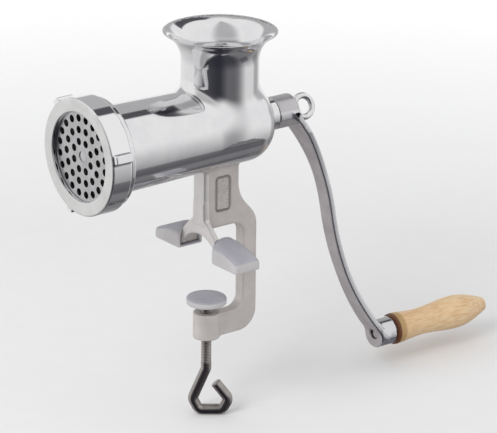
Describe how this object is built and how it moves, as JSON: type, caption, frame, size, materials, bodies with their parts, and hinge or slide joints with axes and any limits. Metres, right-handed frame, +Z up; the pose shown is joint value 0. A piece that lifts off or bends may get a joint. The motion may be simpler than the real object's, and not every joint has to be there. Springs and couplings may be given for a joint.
{
  "type": "hand crank meat grinder",
  "caption": "Hand crank meat grinder with a flared hopper, a ring nut over a drilled plate and knife, a bowed crank with a wooden grip, and a screw clamp for a table edge.",
  "frame": {"origin": "on the clamp screw's axis, at the height of the table top that the foot pads stand on", "axes": "+X along the barrel from the ring nut towards the crank, +Z up, -Z into the table"},
  "size_m": [0.3844, 0.1, 0.2969],
  "materials": {
    "body_metal": "mirror polished barrel and hopper, fine sand-cast leg",
    "ring_metal": "polished rim, satin turned front face",
    "worm_metal": "as cast, flight edges turned bright",
    "crank_metal": "matt cast face, polished edges",
    "plate_steel": "ground flat",
    "steel": "ground and turned",
    "bright_steel": "bright plated",
    "dark_steel": "drawn rod, lightly oxidised",
    "pad_rubber": "matt blue-grey rubber",
    "nylon": "plain moulded",
    "wood": "turned beech, thin clear lacquer"
  },
  "bodies": {
    "root": {"body_casting": "body_metal", "foot_pad_front": "pad_rubber", "foot_pad_rear": "pad_rubber", "plate_key_pin": "steel", "rear_bush": "nylon", "thrust_washer": "nylon"},
    "worm": {"worm": "worm_metal", "knife": "steel", "knife_stud": "steel"},
    "crank": {"crank_arm": "crank_metal", "grip_bolt": "steel", "grip_washer": "steel"},
    "thumb_screw": {"thumb_screw": "bright_steel"},
    "grip": {"grip": "wood"},
    "plate": {"grinding_plate": "plate_steel"},
    "ring_nut": {"ring_nut": "ring_metal"},
    "clamp_disc": {"clamp_disc": "dark_steel", "clamp_disc_rubber": "pad_rubber"},
    "clamp_screw": {"clamp_screw": "dark_steel", "clamp_screw_rivet": "dark_steel"}
  },
  "joints": [
    {"name": "crank_turn", "type": "hinge", "parent": "root", "child": "worm", "pos_m": [0.03, 0, 0.097], "axis": [1, 0, 0], "continuous": true},
    {"name": "crank_pull", "type": "slide", "parent": "worm", "child": "crank", "axis": [1, 0, 0], "range_m": [0, 0.01]},
    {"name": "thumb_screw_turn", "type": "hinge", "parent": "crank", "child": "thumb_screw", "pos_m": [0.076, 0, 0.097], "axis": [1, 0, 0], "range_deg": [-1, 3601]},
    {"name": "grip_turn", "type": "hinge", "parent": "crank", "child": "grip", "pos_m": [0.22, 0, -0.1015], "axis": [1, 0, 0], "continuous": true},
    {"name": "plate_slide", "type": "slide", "parent": "root", "child": "plate", "axis": [-1, 0, 0], "range_m": [0, 0.009]},
    {"name": "ring_nut_turn", "type": "hinge", "parent": "plate", "child": "ring_nut", "pos_m": [-0.11, 0, 0.097], "axis": [-1, 0, 0], "range_deg": [-1, 1081]},
    {"name": "clamp_disc_slide", "type": "slide", "parent": "root", "child": "clamp_disc", "axis": [0, 0, 1], "range_m": [-0.004, 0.022]},
    {"name": "clamp_screw_turn", "type": "hinge", "parent": "clamp_disc", "child": "clamp_screw", "pos_m": [0, 0, -0.06], "axis": [0, 0, 1], "range_deg": [-1153, 6337]}
  ],
  "couplings": [
    {"joint": "thumb_screw_turn", "follows": "crank_pull", "rad_per_m": 6283.2},
    {"joint": "ring_nut_turn", "follows": "plate_slide", "rad_per_m": 2094.4},
    {"joint": "clamp_screw_turn", "follows": "clamp_disc_slide", "rad_per_m": 5026.5}
  ]
}
